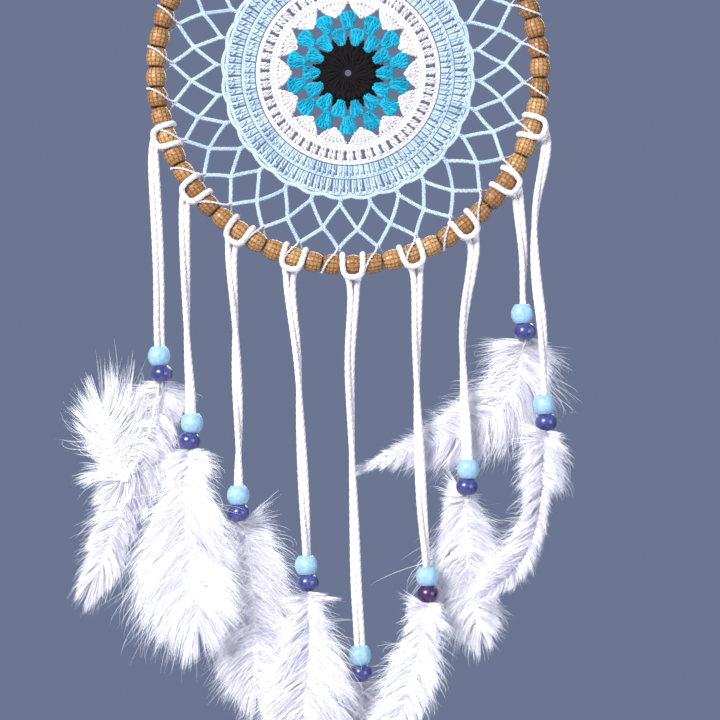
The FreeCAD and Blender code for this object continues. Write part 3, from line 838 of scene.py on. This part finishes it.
def net():
    """The scalloped edge and the two rows of diamonds that reach out to the lacing."""
    random = np.random.default_rng(71)
    builder = Builder()
    stems, mids, outers = [], [], []
    for i in range(NET_NODES):
        node = NET_TURN + NET_PITCH * i
        shift = random.uniform(-0.5, 0.5, 3)
        stems.append(on_hoop(STEM_END_RADIUS, node + shift[0]))
        mids.append(on_hoop(MID_KNOT_RADIUS + shift[1], node + NET_PITCH / 2 + shift[2]))
        outers.append(on_hoop(OUTER_KNOT_RADIUS, node))
    for i in range(NET_NODES):
        stem, mid, outer = stems[i], mids[i], outers[i]
        root = on_hoop(STEM_ROOT, NET_TURN + NET_PITCH * i)
        for offset in (-0.7, 0.7):
            post(builder, root + [offset, 0, 0], stem + [offset * 0.3, 0, 0], random, 0.8, 0.4, 0.42)
        chain(builder, stem, mid, random)
        chain(builder, stem, mids[i - 1], random)
        chain(builder, mid, outer, random)
        chain(builder, mids[i - 1], outer, random)
        knot(builder, stem, 0.95, random)
        knot(builder, mid, 1.1, random)
        knot(builder, outer, 0.85, random)
    braid(builder, ring(EYE_EDGE, 35 * NET_NODES, 1.2, NET_NODES), 0.6, 2.6, random, 0.5, True, 5)
    piece = builder.make("net_of_chains", LIGHT_BLUE, "hoop")
    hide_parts("chain_net")


def gap_near(angle):
    pitch = 360.0 / HOOP_BEADS
    return pitch * (math.floor(angle / pitch) + 0.5)


def lacing():
    """One thread round the hoop: over its front to a net knot, then behind it to the next stitch."""
    points = []
    for i in range(NET_NODES):
        node = NET_TURN + NET_PITCH * i - 180.0
        gap, following = gap_near(node - LACING_LEAD), gap_near(node + NET_PITCH - LACING_LEAD)
        points += [
            on_hoop(101.2, gap, 0),
            on_hoop(99.0, gap + 0.4, -4.8),
            on_hoop(94.0, gap + 0.4 * (node - gap), -5.9),
            on_hoop(90.0, node - 0.5, -2.4),
            on_hoop(86.0, node, 0),
            on_hoop(90.0, node + 0.7, 2.4),
            on_hoop(94.0, node + 0.4 * (following - node), 6.1),
            on_hoop(99.0, following - 0.6, 5.0),
        ]
    builder = Builder()
    laid(builder, nurbs_line(points), LACING_DRAWN, 2, LACING_LAY, 0.5, 6, np.random.default_rng(81))
    piece = builder.make("lacing", WHITE, "hoop")
    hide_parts("lacing_thread")


def crochet():
    rounds = [
        (black_round(), "black_centre_round", "black_yarn"),
        (turquoise_round("turquoise_petals", *PETAL_ROUND, PETAL_TURN, 4.4, 8.4, 4, 41, False),
         "turquoise_round_inner", "turquoise_yarn"),
        (turquoise_round("turquoise_fans", *FAN_ROUND, FAN_TURN, 4.4, 7.2, 5, 42, True),
         "turquoise_round_outer", "turquoise_yarn"),
        (shell_round(), "white_shell_round", "white_yarn"),
        (mesh_round(), "white_mesh_round", "white_yarn"),
        (close_round("blue_stitches_inner", *CLOSE_INNER_ROUND, 0.0, 63), "blue_round_inner", "light_blue_yarn"),
        (close_round("blue_stitches_outer", *CLOSE_OUTER_ROUND, 1.6, 64), "blue_round_outer", "light_blue_yarn"),
    ]
    for piece, node, slot in rounds:
        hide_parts(node)
    net()
    lacing()


# ---------------------------------------------------------------- feathers

# pendant, how far behind the bead the vane lies (+Y), and stations down the quill from the purple bead's middle:
# x, drop, half width towards the left and towards the right when looking at the front
FEATHERS = {
    "feather_1": (1, 7.0, [(-1, 14, 11, 8), (-6, 32, 14, 12), (-14, 51, 14, 10), (-26, 76, 9, 8),
                           (-31, 90, 9, 10), (-37, 102, 8, 9)]),
    "feather_2": (2, -7.0, [(0, 13, 9, 8), (-1, 30, 20, 17), (-1, 43, 26, 19), (0, 62, 25, 18),
                            (2, 78, 18, 15), (3, 90, 8, 8)]),
    "feather_3": (3, 7.0, [(2, 9, 7, 11), (4, 23, 14, 17), (6, 49, 17, 16), (6, 69, 16, 14),
                           (6, 80, 12, 11), (6, 88, 7, 7)]),
    "feather_4": (4, -10.5, [(0, 9, 7, 7), (0, 29, 18, 19), (-2, 48, 19, 19), (-4, 68, 16, 17),
                             (-6, 79, 12, 13), (-7, 88, 7, 7)]),
    "feather_5": (5, 7.0, [(0, 8, 5, 5), (0, 23, 12, 15), (-1, 48, 14, 16), (-2, 73, 10, 12),
                           (-3, 85, 7, 7)]),
    "feather_6": (6, -7.0, [(-2, 9, 7, 6), (-4, 23, 11, 10), (-7, 35, 13, 10), (-11, 48, 12, 9),
                            (-18, 63, 9, 8), (-25, 72, 6, 6)]),
    "feather_7": (7, 7.0, [(-2, 8, 8, 8), (-1, 21, 17, 14), (0, 36, 21, 12), (2, 56, 15, 10),
                           (4, 66, 9, 8), (5, 72, 7, 7)]),
    "feather_8": (8, 7.0, [(-1, 10, 13, 15), (-3, 23, 16, 16), (-11, 36, 13, 14), (-25, 46, 12, 14),
                           (-41, 53, 8, 11), (-61, 59, 5, 6), (-83, 67, 1, 1)]),
    "feather_9": (9, -7.0, [(-2, 9, 9, 9), (-3, 19, 9, 10), (-4, 34, 8, 4), (-7, 51, 11, 4),
                            (-14, 67, 12, 5), (-24, 77, 8, 5), (-38, 85, 2, 2)]),
}
BARE_SHAFT = {"feather_2": 0.32, "feather_3": 0.2}  # the share of the shaft that shows
FULL_LOFT = 8.0  # how far the down stands out from its vane, but for the feathers that lie close to another one
LOFT = {"feather_2": 2.0, "feather_6": 1.5}
THIN_DOWN = {"feather_1_b": 0.45}  # the share of the barbs that is left
TIGHT_BARBS, LOOSE_BARBS = 17, 13  # for each millimetre of one side
SHAFT_POINTS = 160
QUILL_RADIUS = 0.55
# the second feather of pendant 1, which curls up to the left: the bare part of its quill and its stations
CURL_DEPTH = 3.0
CURL_QUILL = [(-7, 28), (-14, 44), (-21, 52)]
CURL_VANE = [(-22, 50, 12, 8), (-25, 41, 20, 11), (-27, 33, 22, 13), (-29, 25, 17, 12), (-30, 19, 10, 9)]


class Vane:
    """A feather's shaft with its widths, from the stations along it."""

    def __init__(self, root, stations, origin, depth, fluff, loft=FULL_LOFT):
        """fluff is how far down the root's points the first down grows, loft how far the down stands out."""
        points = list(root) + [origin + np.array([x, depth, -drop]) for x, drop, _, _ in stations]
        rest = len(root)
        self.depth = depth
        self.away = math.copysign(1.0, depth)
        self.loft = loft
        self.line = smooth_line(points, SHAFT_POINTS)
        place = np.linspace(0, len(points) - 1, SHAFT_POINTS)
        stations = np.array(stations, float)
        index = np.concatenate([[fluff, fluff + 0.6], np.arange(rest, len(points))])
        first = np.maximum(stations[0, 2:], 10.0)
        self.left = np.interp(place, index, [0.5 * first[0], first[0], *stations[:, 2]])
        self.right = np.interp(place, index, [0.5 * first[1], first[1], *stations[:, 3]])
        self.start = fluff / (len(points) - 1)
        tangent = np.gradient(self.line, axis=0)
        self.tangent = tangent / np.linalg.norm(tangent, axis=1)[:, None]
        self.to_left = np.stack([self.tangent[:, 2], 0 * place, -self.tangent[:, 0]], axis=1)
        self.to_left /= np.linalg.norm(self.to_left, axis=1)[:, None] + 1e-9

    def at(self, u, side):
        """The points, the directions along and across, and the half widths at shares u of the shaft."""
        f = u * (len(self.line) - 1)
        i = f.astype(int)
        width = np.interp(f, np.arange(len(self.line)), self.left if side > 0 else self.right)
        return self.line[i], self.tangent[i], self.to_left[i] * side, width[:, None]


def tufts(builder, vane, side, count, random, loose, bare):
    """The barbs of one side: fine hairs that sweep towards the tip and close up into tufts.
    loose barbs are the longer, thinner and more curled ones; the shaft shows as far as bare."""
    share = np.sort(random.uniform(0, 1, count))
    u = vane.start + (1 - vane.start) * 0.985 * share
    root, along, across, half = vane.at(u, side)
    along = along * [1, 0.15, 1]
    half = np.maximum(half, 3.5)
    member = np.cumsum(random.uniform(0, 1, count) < (0.16 if loose else 0.07))
    near_root = np.clip(1 - share / 0.22, 0, 1)
    near_tip = np.clip((share - 0.82) / 0.18, 0, 1)
    tuft = random.normal(0, 1, (member[-1] + 1, 4))[member]
    own = random.normal(0, 1, (count, 5))
    reach = 1.0 + 0.1 * tuft[:, 0] + (0.2 if loose else 0.1) * own[:, 0] - 0.6 * near_tip
    lean = 1.05 + 0.28 * tuft[:, 1] + (0.3 if loose else 0.12) * own[:, 1] - 0.8 * near_root + 0.9 * near_tip
    lean = np.maximum(lean, -0.15)
    if loose:
        reach = reach * random.uniform(0.75, 1.38, count) + 0.3 * near_root
    tip = root + across * half * reach[:, None] + along * half * lean[:, None]
    first = 0.62 + 0.1 * tuft[:, 2] + (0.22 if loose else 0.05) * own[:, 2]
    bend = root + across * half * (reach * first)[:, None] + along * half * (lean * 0.38 - 0.05)[:, None]
    level = vane.depth - root[:, 1]
    tip[:, 1] += level
    bend[:, 1] += 0.7 * level
    lift = (2.4 if loose else 1.6) * tuft[:, 3] + (2.0 if loose else 0.8) * own[:, 3]
    lift = vane.away * np.clip(lift + 0.25 * vane.loft, -1.5, vane.loft)
    start = root - across * 0.9 * (share > bare)[:, None] * np.abs(own[:, 4:])
    start[:, 1] -= 0.5 * (share > bare)
    # Each barb's tint: random from tuft to tuft and barb to barb, and lower for the loose fringe barbs; its low
    # values give painted lilac-grey shade between the tufts and in the fringe.
    shade = np.clip(0.6 + 0.24 * tuft[:, 0] + 0.2 * own[:, 4] - (0.12 if loose else 0.0), 0, 1)
    width = (0.17 if loose else 0.42) * random.uniform(0.7, 1.25, count)
    builder.hairs(start, bend, tip, lift, width, shade, 9 if loose else 7)


def plume(name, vane, seed, bare, thin):
    """A whole feather of down, soft and frayed at its edges. thin is the share of its barbs that is drawn."""
    random = np.random.default_rng(seed)
    builder = Builder()
    length = lengths_along(vane.line)[-1] * (1 - vane.start)
    thin *= 1.0
    for side in (-1, 1):
        tufts(builder, vane, side, int(length * TIGHT_BARBS * thin), random, False, bare)
        tufts(builder, vane, side, int(length * LOOSE_BARBS * thin), random, True, bare)
    return builder.make(name, DOWN, None, False)


def shaft(name, line):
    builder = Builder()
    t = np.linspace(0, 1, len(line))
    builder.tube(line + np.array([0, -0.25, 0]), QUILL_RADIUS * (1 - t) ** 0.7 + 0.12, 8, 0.5)
    return builder.make(name, QUILL, None)


def feathers():
    for name, (number, depth, stations) in FEATHERS.items():
        origin = bead_middle(PENDANTS[number - 1][2])
        first = stations[0]
        root = [origin + [0, 0, -1.0], origin + [0, 0.1 * depth, -5.0]]
        if first[1] > 11:
            root.append(origin + [first[0] * 0.6, depth * 0.85, -10.0])
        make_feather(name, Vane(root, stations, origin, depth, 0.85, LOFT.get(name, FULL_LOFT)), number, 100 + number)
    origin = bead_middle(PENDANTS[0][2])
    root = [origin + [-1.2, 0, -1.0], origin + [-2.0, 1.4, -6.0], origin + [-3, CURL_DEPTH, -12]]
    root += [origin + [qx, CURL_DEPTH, -qd] for qx, qd in CURL_QUILL]
    make_feather("feather_1_b", Vane(root, CURL_VANE, origin, CURL_DEPTH, len(root) - 3.2), 1, 120)


def make_feather(name, vane, number, seed):
    body = "pendant_%d" % number
    down = plume(name + "_down", vane, seed, BARE_SHAFT.get(name, 0.0), THIN_DOWN.get(name, 1.0))
    quill = shaft(name + "_quill", vane.line)
    for piece in (down, quill):
        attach(piece, body)
    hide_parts(name)


# ---------------------------------------------------------------- light and floor

def area_light(name, place, target, size, power, colour=(1, 1, 1)):
    data = bpy.data.lights.new(name, "AREA")
    data.shape, data.size, data.energy, data.color = "DISK", size, power, colour
    light = bpy.data.objects.new(name, data)
    place, target = np.array(place, float), np.array(target, float)
    back = (place - target) / np.linalg.norm(place - target)
    right = np.cross([0, 0, 1], back)
    right /= np.linalg.norm(right)
    up = np.cross(back, right)
    light.matrix_world = Matrix([(*row, p) for row, p in zip(np.stack([right, up, back], axis=1), place)]
                                + [(0, 0, 0, 1)])
    bpy.context.collection.objects.link(light)


def studio():
    """A small pale floor below the object, a grey-blue surround and two soft lights."""
    builder = Builder()
    turn = np.linspace(0, 2 * math.pi, 65)[:-1]
    radii = np.array([420.0, 300.0, 150.0, 0.001])
    rows = np.stack([np.outer(radii, np.cos(turn)), np.outer(radii, np.sin(turn)),
                     np.full((4, 64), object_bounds()[0][2] / MM - 30.0)], axis=-1)
    builder.grid(rows[::-1], 0.5, radii, True)
    floor = builder.make("floor", floor_look(), None)
    world = bpy.data.worlds.new("surround")
    world.use_nodes = True
    shade = world.node_tree.nodes["Background"]
    shade.inputs["Color"].default_value = (0.148, 0.18, 0.285, 1)
    shade.inputs["Strength"].default_value = 1.0
    bpy.context.scene.world = world
    middle = (0.0, 0.0, -0.24)
    bpy.context.scene.view_settings.view_transform = "Standard"
    area_light("key", (-0.9, -1.3, 0.55), middle, 0.8, 44.0, (1.0, 0.985, 0.97))
    area_light("fill", (1.2, -1.2, -0.1), middle, 1.1, 11.0, (0.93, 0.96, 1.0))
    area_light("back", (0.3, 1.2, 0.5), middle, 1.0, 12.0)


# ---------------------------------------------------------------- making

make_camera()
cords()
hoop_beads()
strand_beads()
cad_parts["hoop_wire"].data.materials.clear()
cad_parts["hoop_wire"].data.materials.append(STEEL)
crochet()
feathers()
studio()
